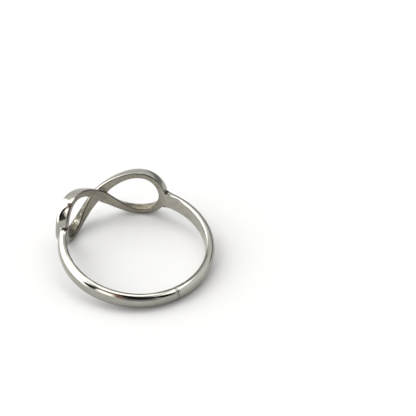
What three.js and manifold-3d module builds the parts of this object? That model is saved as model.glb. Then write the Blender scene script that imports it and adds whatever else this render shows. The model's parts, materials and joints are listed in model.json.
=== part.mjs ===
// Infinity ring of polished silver, lying on its side.
// Millimetres, +Z up, standing on z = 0, with the figure of eight toward +Y.
import * as THREE from 'three';
import Module from 'manifold-3d';

const wasm = await Module();
wasm.setup();

// Plain band around the finger
const finger_diameter = 20.4;
const shank_width = 2.2;
const shank_thickness = 1.3;
const shoulder_width = 2.9;
const flare_width = 0.5;
const flare_length = 1.1;

// Figure of eight, measured along the finger's surface
const head_length = 19.6;
const head_height = 8.55;
const head_step = 0.04;
const wire_thickness = 1.85;
const crossing_width = 1.75;
const side_width = 1;
const end_width = 1.15;
const loop_fullness = 0.39;
const loop_bias = -0.16;

// Where the two wires cross they are thinner and turned, their upper edges outward,
// and one stands off and lies over the other
const crossing_thickness = 1.4;
const crossing_turn = 0.34;
const under_lift = 0.15;
const over_lift = 1.15;
const crossing_reach = 3.8;

// Half round section: a flat face inward and a crown outward
const edge_round = 0.2;
const wire_crown = 2.3;
const shank_crown = 2.4;

// Facets
const crown_steps = 12;
const edge_steps = 2;
const wire_steps = 72;
const shank_steps = 100;
const smallest_edge = 0.004;
const tongue_steps = 2;
const tongue_taper = 0.1;

const finger_radius = finger_diameter / 2;
const loop_reach = (head_length - end_width) / 2;
const loop_rise = (head_height - side_width) / 2;

// Corner list of the half round section, as [across, outward]
function halfRound(width, thickness, crown_power) {
  const half = width / 2;
  const corners = [];
  for (let step = 0; step <= crown_steps; step += 1) {
    const turn = (Math.PI * step) / crown_steps;
    const side = Math.sign(Math.cos(turn)) * Math.abs(Math.cos(turn)) ** (2 / crown_power);
    const rise = Math.max(Math.sin(turn), 0) ** (2 / crown_power);
    corners.push([half * side, edge_round + (thickness - edge_round) * rise]);
  }
  for (const side of [-1, 1]) {
    for (let step = 1; step <= edge_steps; step += 1) {
      const share = side < 0 ? step / edge_steps : 1 - step / edge_steps;
      const turn = (Math.PI / 2) * share;
      if (side > 0 && step === edge_steps) continue;
      const across = half - edge_round * (1 - Math.cos(turn));
      corners.push([side * across, edge_round * (1 - Math.sin(turn))]);
    }
    if (side < 0) corners.push([half - edge_round, 0]);
  }
  return corners;
}

// Section turned about the middle of the wire
function turned(corners, angle) {
  const middle = wire_thickness / 2;
  return corners.map(([side, rise]) => [
    side * Math.cos(angle) - (rise - middle) * Math.sin(angle),
    (rise - middle) * Math.cos(angle) + side * Math.sin(angle) + middle,
  ]);
}

// Point at an arc length around the finger, a height along it and a distance outward
function onFinger(around, along, outward) {
  const angle = around / finger_radius;
  const radius = finger_radius + outward;
  return [radius * Math.sin(angle), radius * Math.cos(angle), along];
}

// Closed body through a row of sections that have the same number of corners
function loft(sections) {
  const count = sections[0].length;
  const points = sections.flat(2);
  const faces = [];
  for (let row = 0; row < sections.length - 1; row += 1) {
    for (let corner = 0; corner < count; corner += 1) {
      const next = (corner + 1) % count;
      const a = row * count + corner;
      const b = row * count + next;
      faces.push(a, a + count, b, b, a + count, b + count);
    }
  }
  const last = (sections.length - 1) * count;
  for (let corner = 1; corner < count - 1; corner += 1) {
    faces.push(0, corner, corner + 1);
    faces.push(last, last + corner + 1, last + corner);
  }
  const solid = new wasm.Manifold(new wasm.Mesh({
    numProp: 3,
    vertProperties: new Float32Array(points),
    triVerts: new Uint32Array(faces),
  }));
  return solid;
}

// Middle line of the figure of eight, one turn for both wires
function eight(turn) {
  const slim = 1 + loop_fullness * Math.sin(turn) ** 2;
  const around = Math.cos(turn) / slim;
  return [around, around * Math.sin(turn) * (1 + loop_bias * around ** 2)];
}

function eightPeak() {
  let peak = 0;
  for (let step = 0; step <= 180; step += 1) {
    peak = Math.max(peak, eight((Math.PI * step) / 360)[1]);
  }
  return peak;
}

const eight_peak = eightPeak();

function middleLine(turn) {
  const [around, along] = eight(turn);
  return [loop_reach * around, (loop_rise * along) / eight_peak];
}

// Width of the flat face: at the crossing, half way along a loop and at its end
function wireWidth(share) {
  const start = crossing_width * (1 - share) * (1 - 2 * share);
  const middle = 4 * side_width * share * (1 - share);
  return start + middle + end_width * share * (2 * share - 1);
}

// One wire from a loop's end, through the crossing, to the other loop's end.
// Tongues of some steps at both ends run on, ever thinner, inside the other wire.
function wire(start_turn, lift, tongue_steps) {
  const small = 1e-4;
  const sections = [];
  for (let step = -tongue_steps; step <= wire_steps + tongue_steps; step += 1) {
    const turn = start_turn + (Math.PI * step) / wire_steps;
    const beyond = Math.max(-step, step - wire_steps, 0);
    const size = 1 - tongue_taper * beyond;
    const [around, along] = middleLine(turn);
    const [around_before, along_before] = middleLine(turn - small);
    const [around_after, along_after] = middleLine(turn + small);
    const run = Math.hypot(around_after - around_before, along_after - along_before);
    const across = [(along_before - along_after) / run, (around_after - around_before) / run];
    const near_crossing = Math.exp(-((around / crossing_reach) ** 2));
    const thickness = wire_thickness + (crossing_thickness - wire_thickness) * near_crossing;
    const sunk = (thickness * (1 - size)) / 2;
    const base = head_step + sunk + lift * near_crossing;
    const width = wireWidth(Math.abs(around) / loop_reach) * size;
    const upward = across[1] < 0 ? -1 : 1;
    const corners = halfRound(width, thickness * size, wire_crown);
    sections.push(turned(corners, crossing_turn * near_crossing * upward).map(([side, rise]) => (
      onFinger(around + across[0] * side, along + across[1] * side, base + rise)
    )));
  }
  return loft(sections);
}

// The band, from the middle of one loop's end around the back to the other
function shank() {
  const whole = Math.PI * finger_diameter;
  const length = whole - 2 * loop_reach;
  const sections = [];
  for (let step = 0; step <= shank_steps; step += 1) {
    const around = loop_reach + (length * step) / shank_steps;
    const from_end = Math.min(around, whole - around) - loop_reach;
    const near_head = 1 - from_end / (length / 2);
    const taper = (shoulder_width - shank_width) * near_head ** 2;
    const into_flare = Math.max(1 - Math.max(from_end - end_width / 2, 0) / flare_length, 0);
    const width = shank_width + taper + flare_width * into_flare ** 2.5;
    sections.push(halfRound(width, shank_thickness, shank_crown).map(([side, rise]) => (
      onFinger(around, side, rise)
    )));
  }
  return loft(sections);
}

// Angle at which the ring leans on both loops and on the far side of the band
function restingLean(position) {
  let lean = 0;
  for (let round = 0; round < 6; round += 1) {
    const lowest = { head: [0, Infinity, 0], back: [0, Infinity, 0] };
    for (let i = 0; i < position.count; i += 1) {
      const y = position.getY(i);
      const z = position.getZ(i);
      const height = y * Math.sin(lean) + z * Math.cos(lean);
      const half = y > 0 ? 'head' : 'back';
      if (height < lowest[half][1]) lowest[half] = [y, height, z];
    }
    const { head, back } = lowest;
    lean = Math.atan2(back[2] - head[2], head[0] - back[0]);
  }
  return lean;
}

function toGeometry(solid) {
  const mesh = solid.getMesh();
  const geometry = new THREE.BufferGeometry();
  geometry.setAttribute('position', new THREE.BufferAttribute(mesh.vertProperties, 3));
  geometry.setIndex(new THREE.BufferAttribute(mesh.triVerts, 1));
  geometry.computeVertexNormals();
  return geometry;
}

const silver = new THREE.MeshStandardMaterial({
  name: 'polished_silver', color: 0xcfcbc3, roughness: 0.15, metalness: 1,
});

const over_wire = wire(0, over_lift, tongue_steps);
const under_wire = wire(Math.PI, under_lift, 0);
const body = shank().add(over_wire).add(under_wire).simplify(smallest_edge);
const ring = new THREE.Mesh(toGeometry(body), silver);
ring.name = 'infinity_ring';

// Lean it as it lies, then stand it on the floor with its box centred on the origin
ring.rotation.x = restingLean(ring.geometry.getAttribute('position'));
ring.updateMatrix();
const extent = new THREE.Box3().setFromObject(ring, true);
const centre = extent.getCenter(new THREE.Vector3());
ring.position.set(-centre.x, -centre.y, -extent.min.z);

const part = new THREE.Group();
part.name = 'infinity_ring_part';
part.add(ring);

export default part;
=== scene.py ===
# Infinity ring of polished silver, lying on its side on a pale floor.
# Metres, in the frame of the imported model. The ring is first shaped in millimetres.
import json
import math

import bmesh
import bpy
from mathutils import Matrix, Vector


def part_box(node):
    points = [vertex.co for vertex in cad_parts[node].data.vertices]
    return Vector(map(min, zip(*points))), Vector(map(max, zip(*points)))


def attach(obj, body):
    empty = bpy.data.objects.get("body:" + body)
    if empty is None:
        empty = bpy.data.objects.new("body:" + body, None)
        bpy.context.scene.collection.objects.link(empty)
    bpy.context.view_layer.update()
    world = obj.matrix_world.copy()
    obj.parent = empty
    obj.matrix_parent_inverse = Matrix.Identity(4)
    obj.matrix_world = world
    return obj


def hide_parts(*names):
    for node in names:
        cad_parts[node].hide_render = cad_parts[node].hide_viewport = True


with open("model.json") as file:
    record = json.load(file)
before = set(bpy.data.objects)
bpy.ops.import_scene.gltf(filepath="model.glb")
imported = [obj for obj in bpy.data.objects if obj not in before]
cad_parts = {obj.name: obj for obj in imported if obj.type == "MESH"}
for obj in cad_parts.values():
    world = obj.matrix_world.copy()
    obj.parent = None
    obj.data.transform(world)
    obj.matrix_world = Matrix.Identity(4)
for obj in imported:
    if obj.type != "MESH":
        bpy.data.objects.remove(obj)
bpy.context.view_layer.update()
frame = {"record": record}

MM = 0.001

# Plain band around the finger
FINGER_DIAMETER = 20.4
SHANK_WIDTH = 2.2
SHANK_THICKNESS = 1.3
SHOULDER_WIDTH = 2.9
FLARE_WIDTH = 0.5
FLARE_LENGTH = 1.1

# Figure of eight, measured along the finger's surface
HEAD_LENGTH = 19.6
HEAD_HEIGHT = 8.55
HEAD_STEP = 0.04
WIRE_THICKNESS = 1.85
CROSSING_WIDTH = 1.75
SIDE_WIDTH = 1.0
END_WIDTH = 1.15
LOOP_FULLNESS = 0.39
LOOP_BIAS = -0.16

# Where the two wires cross they are thinner and turned, their upper edges outward,
# and one stands off and lies over the other
CROSSING_THICKNESS = 1.4
CROSSING_TURN = 0.34
UNDER_LIFT = 0.15
OVER_LIFT = 1.15
CROSSING_REACH = 3.8

# Half round section: a flat face inward and a crown outward
EDGE_ROUND = 0.2
WIRE_CROWN = 2.3
SHANK_CROWN = 2.4

# Steps of the fine mesh, and the grain at which its joints are melted together
CROWN_STEPS = 28
EDGE_STEPS = 4
WIRE_STEPS = 260
SHANK_STEPS = 420
GRAIN = 0.085
MELT_ROUNDS = 6
MELT_EASE = 0.5

FINGER_RADIUS = FINGER_DIAMETER / 2
LOOP_REACH = (HEAD_LENGTH - END_WIDTH) / 2
LOOP_RISE = (HEAD_HEIGHT - SIDE_WIDTH) / 2
# Middle of a loop's opening, as a share of the way to the loop's end
LOOP_MIDDLE = 0.6

# Finish
SEAM_WIDTH = 0.2
SEAM_OFFSET = 0.12
SEAM_WANDER = 0.25
SCRATCH_DEPTH = 0.03
CORNER_INSET = 0.1

# Painted dark reflection on the left loop, by its height along the finger and by how far it faces inward
REFLECTION_PATCH_ALONG = 2.75
REFLECTION_PATCH_HALF_LENGTH = 0.62
REFLECTION_PATCH_FACING = -0.16
REFLECTION_PATCH_HALF_FACING = 0.16
REFLECTION_PATCH_SLANT = -0.07

# Colours of the silver: darker and lighter clouds, then the painted shade, the tint, and the painted edge
# reflections and highlight
OUTSIDE = ((0.325, 0.315, 0.28), (0.37, 0.358, 0.32))
HEAD_INSIDE = ((0.255, 0.238, 0.195), (0.33, 0.308, 0.258))
SHANK_INSIDE = ((0.40, 0.382, 0.33), (0.49, 0.47, 0.415))
LOOP_WALL = ((0.13, 0.12, 0.095), (0.19, 0.175, 0.135))
# Painted shade, with lighter flecks, on the lower wire of the left loop under the crossing wire
LEFT_LOOP_SHADE = [(0.38, (0.03, 0.027, 0.02)), (0.6, (0.09, 0.083, 0.064)), (0.7, (0.36, 0.345, 0.3))]
TINT = [(0.4, (0.17, 0.155, 0.11)), (0.56, (0.29, 0.27, 0.185)), (0.68, (0.36, 0.345, 0.28))]
# Painted dark reflection patch on the left loop
DARK_REFLECTION_PATCH = (0.006, 0.005, 0.005, 1)
# Black: painted shade in the corners where the band meets the loops, and a painted dark reflection line
# along the inner edge of the right loop
BLACK_SHADE_AND_REFLECTION = (0.012, 0.011, 0.009, 1)
# Painted dark reflection line along the inner edges
EDGE_DARK_REFLECTION = (0.06, 0.054, 0.044, 1)
# Painted highlight along the inner edge of one shoulder
EDGE_HIGHLIGHT = (0.7, 0.685, 0.65, 1)
SEAM_COLOUR = (0.03, 0.027, 0.022, 1)

FLOOR_COLOUR = (0.60, 0.60, 0.595, 1)
FLOOR_HALF_WIDTH = 1.5
FLOOR_ROUGHNESS = 0.8

# Light: brightness of the tent by height, from the horizon (0) to straight up (1)
TENT = [(0.0, 0.28), (0.4, 0.28), (0.66, 0.36), (0.76, 0.5)]
TENT_STRENGTH = 3.8
# Panels and gaps by bearing from the camera's side (right is positive), by rise in degrees,
# width of the soft edge and brightness
PANELS = [
    (-142, -62, -20, 73, 8, 1.0),
    (-50, -22, 24, 66, 8, 0.8),
    (-110, -64, 71, 79, 5, 0.02),
    (-68, -49, 22, 62, 4, 0.004),
    (-66, -56, 50, 78, 4, 0.005),
    (-70, -4, 66, 92, 8, (0.09, 0.045, 0.04)),
    (-24, -4, 26, 70, 8, (0.11, 0.06, 0.05)),
    (-14, 28, 6, 48, 12, 0.12),
    (-8, 34, 34, 92, 12, 0.008),
    (-8, 54, 54, 92, 6, 0.004),
    (48, 104, 74, 92, 6, 0.07),
    (62, 124, 16, 60, 14, 0.37),
    (34, 56, 24, 76, 5, 0.003),
    (66, 132, 60, 68, 3, 1.3),
    (134, 184, 55, 66, 4, 0.25),
    (108, 164, -15, 26, 7, 0.1),
]
SOFTBOX_POWER = 0.3
SOFTBOX_WIDTH = 0.25
SOFTBOX_DISTANCE = 0.5
SOFTBOX_RISE = 75

# Camera of the photograph, in its own floor frame: the ring is turned and placed in that frame
PHOTO_WIDTH = 416
SENSOR_WIDTH = 36
LENS_PIXELS = 753.4
CAMERA_HEIGHT_ANGLE = 37.075
CAMERA_DISTANCE = 123.04
CAMERA_ROLL = 2.182
RING_TURN = 35.701
RING_PLACE = (-10.223, -12.934)


def half_round(width, thickness, power):
    """Corners of the half round section as (across, outward)."""
    half = width / 2
    corners = []
    for step in range(CROWN_STEPS + 1):
        turn = math.pi * step / CROWN_STEPS
        side = math.copysign(abs(math.cos(turn)) ** (2 / power), math.cos(turn))
        rise = max(math.sin(turn), 0.0) ** (2 / power)
        corners.append((half * side, EDGE_ROUND + (thickness - EDGE_ROUND) * rise))
    edge = []
    for step in range(1, EDGE_STEPS + 1):
        turn = math.pi / 2 * step / EDGE_STEPS
        across = half - EDGE_ROUND * (1 - math.cos(turn))
        edge.append((across, EDGE_ROUND * (1 - math.sin(turn))))
    corners += [(-across, rise) for across, rise in edge]
    corners += [(across, rise) for across, rise in reversed(edge)]
    return corners


def turned(corners, angle):
    """Section turned about the middle of the wire."""
    middle = WIRE_THICKNESS / 2
    rise, run = math.sin(angle), math.cos(angle)
    return [
        (side * run - (out - middle) * rise, (out - middle) * run + side * rise + middle)
        for side, out in corners
    ]


def on_finger(around, along, outward):
    """Point at an arc length around the finger, a height along it and a distance outward."""
    angle = around / FINGER_RADIUS
    radius = FINGER_RADIUS + outward
    return Vector((radius * math.sin(angle), radius * math.cos(angle), along))


def add_loft(bm, sections):
    """Closed body through a row of sections: bridged rings of edges with both ends filled."""
    rings = []
    for section in sections:
        verts = [bm.verts.new(point) for point in section]
        rings.append([bm.edges.new((verts[i - 1], verts[i])) for i in range(len(verts))])
    for before, after in zip(rings, rings[1:]):
        bmesh.ops.bridge_loops(bm, edges=before + after)
    bmesh.ops.contextual_create(bm, geom=rings[0])
    bmesh.ops.contextual_create(bm, geom=rings[-1])


def eight(turn):
    """Figure of eight of width 2 as (around, along), one turn for both wires."""
    slim = 1 + LOOP_FULLNESS * math.sin(turn) ** 2
    around = math.cos(turn) / slim
    return around, around * math.sin(turn) * (1 + LOOP_BIAS * around ** 2)


EIGHT_PEAK = max(eight(math.pi * step / 360)[1] for step in range(181))


def middle_line(turn):
    """Middle line of the wires at full size."""
    around, along = eight(turn)
    return LOOP_REACH * around, LOOP_RISE * along / EIGHT_PEAK


def wire_width(share):
    """Width of the flat face at a share of the way from the crossing to a loop's end."""
    start = CROSSING_WIDTH * (1 - share) * (1 - 2 * share)
    middle = 4 * SIDE_WIDTH * share * (1 - share)
    return start + middle + END_WIDTH * share * (2 * share - 1)


def wire_sections(start_turn, lift):
    """One wire from a loop's end, through the crossing, to the other loop's end."""
    small = 1e-4
    sections = []
    for step in range(WIRE_STEPS + 1):
        turn = start_turn + math.pi * step / WIRE_STEPS
        around, along = middle_line(turn)
        before = Vector(middle_line(turn - small))
        run = (Vector(middle_line(turn + small)) - before).normalized()
        near_crossing = math.exp(-((around / CROSSING_REACH) ** 2))
        thickness = WIRE_THICKNESS + (CROSSING_THICKNESS - WIRE_THICKNESS) * near_crossing
        base = HEAD_STEP + lift * near_crossing
        width = wire_width(abs(around) / LOOP_REACH)
        upward = -1 if run.x < 0 else 1
        flat = half_round(width, thickness, WIRE_CROWN)
        sections.append([
            on_finger(around - run.y * side, along + run.x * side, base + rise)
            for side, rise in turned(flat, CROSSING_TURN * near_crossing * upward)
        ])
    return sections


def shank_sections():
    """The band, from the middle of one loop's end around the back to the other."""
    whole = math.pi * FINGER_DIAMETER
    length = whole - 2 * LOOP_REACH
    sections = []
    for step in range(SHANK_STEPS + 1):
        around = LOOP_REACH + length * step / SHANK_STEPS
        from_end = min(around, whole - around) - LOOP_REACH
        near_head = 1 - from_end / (length / 2)
        taper = (SHOULDER_WIDTH - SHANK_WIDTH) * near_head ** 2
        into_flare = max(1 - max(from_end - END_WIDTH / 2, 0) / FLARE_LENGTH, 0)
        width = SHANK_WIDTH + taper + FLARE_WIDTH * into_flare ** 2.5
        corners = half_round(width, SHANK_THICKNESS, SHANK_CROWN)
        sections.append([on_finger(around, side, rise) for side, rise in corners])
    return sections


def apply_modifiers(piece):
    """Bakes the modifiers of a piece into its mesh."""
    graph = bpy.context.evaluated_depsgraph_get()
    baked = bpy.data.meshes.new_from_object(piece.evaluated_get(graph))
    piece.modifiers.clear()
    old = piece.data
    piece.data = baked
    bpy.data.meshes.remove(old)


def new_object(name, bm):
    """Object in the scene with the mesh that a bmesh holds."""
    mesh = bpy.data.meshes.new(name)
    bm.to_mesh(mesh)
    bm.free()
    made = bpy.data.objects.new(name, mesh)
    bpy.context.scene.collection.objects.link(made)
    return made


def melted_ring():
    """Both wires and the band, melted into one smooth body, in millimetres."""
    bm = bmesh.new()
    add_loft(bm, wire_sections(0, OVER_LIFT))
    add_loft(bm, wire_sections(math.pi, UNDER_LIFT))
    add_loft(bm, shank_sections())
    bmesh.ops.recalc_face_normals(bm, faces=bm.faces)
    piece = new_object("ring_body", bm)
    melt = piece.modifiers.new("melt", "REMESH")
    melt.mode = "VOXEL"
    melt.voxel_size = GRAIN
    melt.use_smooth_shade = True
    ease = piece.modifiers.new("ease", "SMOOTH")
    ease.factor = MELT_EASE
    ease.iterations = MELT_ROUNDS
    apply_modifiers(piece)
    return piece


def resting_lean(mesh):
    """Angle at which the ring leans on both loops and on the far side of the band."""
    points = [(v.co.y, v.co.z) for v in mesh.vertices]
    lean = 0.0
    for _ in range(4):
        rise, run = math.sin(lean), math.cos(lean)
        head = min((p for p in points if p[0] > 0), key=lambda p: p[0] * rise + p[1] * run)
        back = min((p for p in points if p[0] <= 0), key=lambda p: p[0] * rise + p[1] * run)
        lean = math.atan2(back[1] - head[1], head[0] - back[0])
    return lean


def lay_down(piece):
    """Leans the ring as it rests and puts it where its node is, in metres."""
    mesh = piece.data
    mesh.transform(Matrix.Rotation(resting_lean(mesh), 4, "X"))
    mesh.transform(Matrix.Scale(MM, 4))
    low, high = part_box("infinity_ring")
    corners = [v.co for v in mesh.vertices]
    lowest = min(c.z for c in corners)
    middle_x = (min(c.x for c in corners) + max(c.x for c in corners)) / 2
    middle_y = (min(c.y for c in corners) + max(c.y for c in corners)) / 2
    shift = Vector(((low[0] + high[0]) / 2 - middle_x, (low[1] + high[1]) / 2 - middle_y, low[2] - lowest))
    mesh.transform(Matrix.Translation(shift))
    mesh.update()


def mark_places(mesh):
    """Stores where each point lies on the finger: around, along and outward.
    Also stores how far it faces inward, and how far it faces the opening of its loop."""
    places = []
    facings = []
    openings = []
    for vertex, normal in zip(mesh.vertices, mesh.vertex_normals):
        point = vertex.co
        radius = math.hypot(point.x, point.y)
        around = math.atan2(point.x, point.y) * FINGER_RADIUS
        places += [around, point.z, radius - FINGER_RADIUS]
        facings.append(-(normal.vector.x * point.x + normal.vector.y * point.y) / radius)
        middle = math.copysign(LOOP_MIDDLE * LOOP_REACH, around)
        toward = Vector((middle - around, -point.z)).normalized()
        sideways = (normal.vector.x * point.y - normal.vector.y * point.x) / radius
        openings.append(toward.dot((sideways, normal.vector.z)) if abs(around) < LOOP_REACH else 0.0)
    mesh.attributes.new("finger_place", "FLOAT_VECTOR", "POINT").data.foreach_set("vector", places)
    mesh.attributes.new("faces_inward", "FLOAT", "POINT").data.foreach_set("value", facings)
    mesh.attributes.new("faces_opening", "FLOAT", "POINT").data.foreach_set("value", openings)


class Shader:
    """Small helper that adds nodes to a material or world and links them by name."""

    def __init__(self, owner):
        owner.use_nodes = True
        self.tree = owner.node_tree

    def add(self, kind, properties=None, **inputs):
        made = self.tree.nodes.new(kind)
        for name, value in (properties or {}).items():
            setattr(made, name, value)
        for name, value in inputs.items():
            self.feed(made, name, value)
        return made

    def feed(self, target, name, value):
        """Sets an input, given by its name or as i and its number, to a value or links it."""
        socket = target.inputs[int(name[1:]) if name[1:].isdigit() else name]
        if isinstance(value, bpy.types.NodeSocket):
            self.tree.links.new(value, socket)
        else:
            socket.default_value = value

    def math(self, operation, first, second=0.0):
        return self.add("ShaderNodeMath", {"operation": operation}, i0=first, i1=second).outputs[0]

    def plus(self, first, second):
        return self.math("ADD", first, second)

    def minus(self, first, second):
        return self.math("SUBTRACT", first, second)

    def times(self, first, second):
        return self.math("MULTIPLY", first, second)

    def over(self, first, second):
        return self.math("DIVIDE", first, second)

    def most(self, first, second):
        return self.math("MAXIMUM", first, second)

    def size(self, value):
        return self.math("ABSOLUTE", value)

    def squares(self, first, second):
        return self.plus(self.times(first, first), self.times(second, second))

    def ramp(self, factor, stops):
        made = self.add("ShaderNodeValToRGB", Fac=factor)
        elements = made.color_ramp.elements
        for index, (position, shade) in enumerate(stops):
            element = elements[index] if index < 2 else elements.new(position)
            element.position = position
            element.color = (*shade, 1) if isinstance(shade, tuple) else (shade, shade, shade, 1)
        return made.outputs["Color"]

    def span(self, value, per_unit, start, full, fade=1.0, end=None):
        """1 between two places, 0 before and after them, with a soft start and end."""
        stops = [(start, 0.0), (full, 1.0)]
        if end is not None:
            stops += [(fade, 1.0), (end, 0.0)]
        return self.ramp(self.times(value, per_unit), stops)

    def cloudy(self, cloud, tones):
        return self.ramp(cloud, [(0.3, tones[0]), (0.7, tones[1])])

    def mix(self, factor, first, second):
        made = self.add("ShaderNodeMix", {"data_type": "RGBA"})
        self.feed(made, "i0", factor)
        self.feed(made, "i6", first)
        self.feed(made, "i7", second)
        return made.outputs[2]

    def noise(self, vector, scale, detail=2.0):
        return self.add("ShaderNodeTexNoise", Vector=vector, Scale=scale, Detail=detail).outputs["Fac"]

    def stretched(self, vector, scale):
        return self.add("ShaderNodeMapping", Vector=vector, Scale=scale).outputs["Vector"]

    def attribute(self, name, output="Fac"):
        return self.add("ShaderNodeAttribute", {"attribute_name": name}).outputs[output]


class SilverShader(Shader):
    """The ring's silver, layer by layer, over the places that its mesh stores."""

    def __init__(self, owner):
        super().__init__(owner)
        self.place = self.attribute("finger_place", "Vector")
        self.facing = self.attribute("faces_inward")
        split = self.add("ShaderNodeSeparateXYZ", Vector=self.place)
        self.around, self.along, self.outward = split.outputs
        self.from_crossing = self.size(self.around)
        self.inner = self.ramp(self.facing, [(0.72, 0.0), (0.95, 1.0)])
        self.on_shank = self.span(self.from_crossing, 0.05, 0.38, 0.56)
        self.unpolished = self.ramp(self.attribute("faces_opening"), [(0.35, 0.0), (0.75, 1.0)])
        self.upper_side = self.ramp(self.along, [(0.3, 0.0), (0.7, 1.0)])
        self.lower_side = self.span(self.along, -1.0, 0.0, 0.6)

    def bare(self):
        """Clouded silver outside and inside, and the darker, rougher walls of the loops."""
        cloud = self.noise(self.place, 0.55, 4.0)
        inside = self.mix(self.on_shank, self.cloudy(cloud, HEAD_INSIDE), self.cloudy(cloud, SHANK_INSIDE))
        colour = self.mix(self.inner, self.cloudy(cloud, OUTSIDE), inside)
        return self.mix(self.unpolished, colour, self.cloudy(cloud, LOOP_WALL))

    def shade_and_tint(self, colour):
        """Painted shade in the lower part of the left loop, under the crossing wire, and a warm tint in
        that of the right loop.
        """
        blotches = self.noise(self.stretched(self.place, (1.0, 1.4, 2.5)), 1.1, 4.0)
        left_loop = self.span(self.around, -0.1, 0.1, 0.3, 0.86, 0.93)
        facing_in = self.most(self.unpolished, self.times(self.inner, 0.3))
        # Painted shade on the left loop's lower wire, under the crossing wire
        under_crossing_shade = self.times(self.times(left_loop, self.lower_side), facing_in)
        colour = self.mix(under_crossing_shade, colour, self.ramp(blotches, LEFT_LOOP_SHADE))
        right_loop = self.span(self.around, 0.1, 0.36, 0.5, 0.82, 0.92)
        tinted = self.times(self.times(right_loop, self.lower_side), self.unpolished)
        return self.mix(tinted, colour, self.ramp(blotches, TINT))

    def shade_and_reflection_patches(self, colour):
        """Painted shade, black, in the corners where the band meets the loops, and a painted dark
        reflection patch on the left loop.
        """
        # Painted shade: black in the corners where the band meets the loops
        past_loop = self.minus(self.from_crossing, LOOP_REACH + END_WIDTH / 2)
        corner = (SHOULDER_WIDTH + FLARE_WIDTH) / 2 - CORNER_INSET
        off_joint = self.squares(past_loop, self.minus(self.size(self.along), corner))
        colour = self.mix(self.ramp(off_joint, [(0.03, 1.0), (0.12, 0.0)]), colour, BLACK_SHADE_AND_REFLECTION)
        # Painted dark reflection patch on the left loop's crown
        up_loop = self.over(self.minus(self.along, REFLECTION_PATCH_ALONG), REFLECTION_PATCH_HALF_LENGTH)
        over_crown = self.plus(self.facing, self.times(up_loop, REFLECTION_PATCH_SLANT))
        over_crown = self.over(self.minus(over_crown, REFLECTION_PATCH_FACING), REFLECTION_PATCH_HALF_FACING)
        ragged = self.times(self.noise(self.place, 1.7, 4.0), 1.6)
        off_patch = self.times(self.plus(self.squares(up_loop, over_crown), ragged), 0.5)
        on_left = self.span(self.around, -0.1, 0.66, 0.72)
        patch = self.times(self.ramp(off_patch, [(0.58, 0.98), (0.88, 0.0)]), on_left)
        return self.mix(patch, colour, DARK_REFLECTION_PATCH)

    def edge_reflections(self, colour):
        """Inner edge: a patchy painted dark reflection line, a painted highlight on one shoulder and a
        painted black reflection line in the right loop.
        """
        # Painted dark reflection line along the inner edges, made patchy by noise
        not_inside = self.ramp(self.facing, [(0.72, 1.0), (0.86, 0.0)])
        low_side = self.times(self.ramp(self.outward, [(0.28, 0.7), (0.5, 0.0)]), not_inside)
        rounding = self.ramp(self.facing, [(0.12, 0.0), (0.3, 1.0), (0.72, 1.0), (0.86, 0.0)])
        at_edge = self.most(self.times(low_side, self.on_shank), rounding)
        patchy = self.noise(self.stretched(self.place, (0.5, 0.5, 0.5)), 1.2, 3.0)
        edge_line = self.ramp(patchy, [(0.34, 0.4), (0.58, 0.92)])
        # Painted highlight on the right shoulder's inner edge
        highlit_shoulder = self.times(self.span(self.around, 0.03, 0.29, 0.35, 0.58, 0.72), self.upper_side)
        # Painted black reflection line along the inner edge of the right loop
        black = self.times(self.span(self.around, 0.1, 0.1, 0.3, 0.84, 0.92), self.upper_side)
        edge_colour = self.mix(black, self.mix(highlit_shoulder, EDGE_DARK_REFLECTION, EDGE_HIGHLIGHT), BLACK_SHADE_AND_REFLECTION)
        edge_line = self.most(edge_line, self.most(highlit_shoulder, black))
        return self.mix(self.times(at_edge, edge_line), colour, edge_colour)

    def seam(self):
        """Thin line across the back of the band, where the ring was sized."""
        wander = self.times(self.noise(self.place, 2.0), SEAM_WANDER)
        back = math.pi * FINGER_RADIUS + SEAM_OFFSET
        from_seam = self.minus(back, self.plus(self.from_crossing, wander))
        return self.ramp(from_seam, [(0.0, 1.0), (SEAM_WIDTH, 0.0)])

    def casting_pits(self):
        """Fine pits on the inner face of the crossing."""
        near_crossing = self.ramp(self.times(self.from_crossing, 0.1), [(0.12, 1.0), (0.42, 0.0)])
        pits = self.ramp(self.noise(self.place, 6.0, 3.0), [(0.28, 0.0), (0.42, 1.0)])
        return self.mix(self.times(near_crossing, self.inner), (1, 1, 1, 1), pits)


def polished_silver():
    """Silver: mirror polished outside, brushed inside, with fine wear, painted shade, painted reflections
    and a painted highlight, casting pits and a sizing seam.
    """
    material = bpy.data.materials.new("polished_silver")
    silver = SilverShader(material)
    seam = silver.seam()
    colour = silver.edge_reflections(silver.shade_and_reflection_patches(silver.shade_and_tint(silver.bare())))
    colour = silver.mix(seam, colour, SEAM_COLOUR)

    streaks = silver.noise(silver.stretched(silver.place, (0.25, 9.0, 9.0)), 1.6, 5.0)
    hairs = silver.noise(silver.stretched(silver.place, (2.2, 0.35, 0.35)), 5.0, 6.0)
    polish = silver.ramp(hairs, [(0.35, 0.055), (0.75, 0.13)])
    brushing = silver.ramp(streaks, [(0.3, 0.2), (0.7, 0.34)])
    roughness = silver.mix(silver.inner, polish, brushing)
    roughness = silver.mix(silver.unpolished, roughness, brushing)

    relief = silver.plus(silver.times(streaks, silver.inner), silver.times(hairs, 0.12))
    relief = silver.plus(relief, silver.times(silver.casting_pits(), 1.2))
    relief = silver.minus(relief, silver.times(seam, 2.5))
    bump = silver.add("ShaderNodeBump", Strength=0.25, Distance=SCRATCH_DEPTH * MM, Height=relief)

    surface = silver.tree.nodes["Principled BSDF"]
    surface.inputs["Metallic"].default_value = 1.0
    silver.feed(surface, "Base Color", colour)
    silver.feed(surface, "Roughness", roughness)
    silver.feed(surface, "Normal", bump.outputs["Normal"])
    return material


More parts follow.
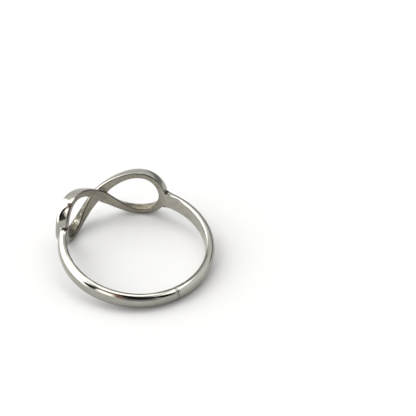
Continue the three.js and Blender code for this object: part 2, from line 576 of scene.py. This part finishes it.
def floor():
    """Plain pale floor, which is no part of the ring."""
    bm = bmesh.new()
    bmesh.ops.create_grid(bm, x_segments=1, y_segments=1, size=FLOOR_HALF_WIDTH)
    ground = new_object("floor", bm)
    material = bpy.data.materials.new("pale_floor")
    surface = Shader(material).tree.nodes["Principled BSDF"]
    surface.inputs["Base Color"].default_value = FLOOR_COLOUR
    surface.inputs["Roughness"].default_value = FLOOR_ROUGHNESS
    ground.data.materials.append(material)


def tent(toward_camera):
    """White tent with panels and dark gaps round it."""
    world = bpy.data.worlds.new("studio")
    bpy.context.scene.world = world
    shade = Shader(world)
    ray = shade.add("ShaderNodeTexCoord").outputs["Generated"]
    from_front = {"Vector": ray, "Rotation": (0, 0, -toward_camera)}
    ray = shade.add("ShaderNodeMapping", {"vector_type": "POINT"}, **from_front).outputs["Vector"]
    front, side, height = shade.add("ShaderNodeSeparateXYZ", Vector=ray).outputs
    bearing = shade.times(shade.math("ARCTAN2", side, front), math.degrees(1))
    rise = shade.times(shade.math("ARCSINE", height), math.degrees(1))
    colour = shade.ramp(shade.over(rise, 90), TENT)
    for left, right, low, high, edge, brightness in PANELS:
        off_middle = shade.size(shade.minus(bearing, (left + right) / 2))
        off_height = shade.size(shade.minus(rise, (low + high) / 2))
        reach = shade.minus((right - left) / 2, off_middle)
        depth = shade.minus((high - low) / 2, off_height)
        inside = shade.over(shade.math("MINIMUM", reach, depth), edge)
        inside = shade.ramp(shade.plus(inside, 0.5), [(0.0, 0.0), (1.0, 1.0)])
        shown = brightness if isinstance(brightness, tuple) else (brightness, brightness, brightness)
        colour = shade.mix(inside, colour, (*shown, 1))
    background = shade.tree.nodes["Background"]
    shade.feed(background, "Color", colour)
    background.inputs["Strength"].default_value = TENT_STRENGTH


def softbox(toward_camera):
    """Soft lamp overhead, a little beyond the ring."""
    data = bpy.data.lights.new("softbox", "AREA")
    data.shape = "DISK"
    data.size = SOFTBOX_WIDTH
    data.energy = SOFTBOX_POWER
    lamp = bpy.data.objects.new("softbox", data)
    rise = math.radians(SOFTBOX_RISE)
    beyond = Vector((-SOFTBOX_DISTANCE * math.cos(rise), 0, SOFTBOX_DISTANCE * math.sin(rise)))
    lamp.location = Matrix.Rotation(toward_camera, 3, "Z") @ beyond
    lamp.rotation_euler = (-lamp.location).to_track_quat("-Z", "Y").to_euler()
    bpy.context.scene.collection.objects.link(lamp)


def studio(eye):
    """Tent and softbox, both turned to the camera's side."""
    toward_camera = math.atan2(eye.matrix_world.translation.y, eye.matrix_world.translation.x)
    tent(toward_camera)
    softbox(toward_camera)
    bpy.context.scene.view_settings.view_transform = "Standard"


def camera():
    """Camera at the photograph's angle, set by where the finger's opening lies in the photograph."""
    data = bpy.data.cameras.new("camera")
    data.sensor_width = SENSOR_WIDTH
    data.lens = SENSOR_WIDTH * LENS_PIXELS / PHOTO_WIDTH
    data.clip_start = 0.005
    eye = bpy.data.objects.new("camera", data)
    bpy.context.scene.collection.objects.link(eye)
    height = math.radians(CAMERA_HEIGHT_ANGLE)
    right = Vector((1, 0, 0))
    back = Vector((0, -math.cos(height), math.sin(height)))
    view = Matrix((right, back.cross(right), back)).transposed().to_4x4()
    view.translation = back * CAMERA_DISTANCE * MM
    view @= Matrix.Rotation(math.radians(CAMERA_ROLL), 4, "Z")
    finger = Vector((*frame["record"]["mounts"][0]["pos_m"][:2], 0))
    place = Matrix.Translation(Vector((*RING_PLACE, 0)) * MM)
    turn = Matrix.Rotation(math.radians(RING_TURN), 4, "Z")
    eye.matrix_world = (place @ turn @ Matrix.Translation(-finger)).inverted() @ view
    bpy.context.scene.camera = eye
    return eye


ring = melted_ring()
mark_places(ring.data)
lay_down(ring)
ring.name = "silver_ring"
ring.data.name = "silver_ring"
ring.data.materials.clear()
ring.data.materials.append(polished_silver())
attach(ring, "root")
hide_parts("infinity_ring")

floor()
studio(camera())
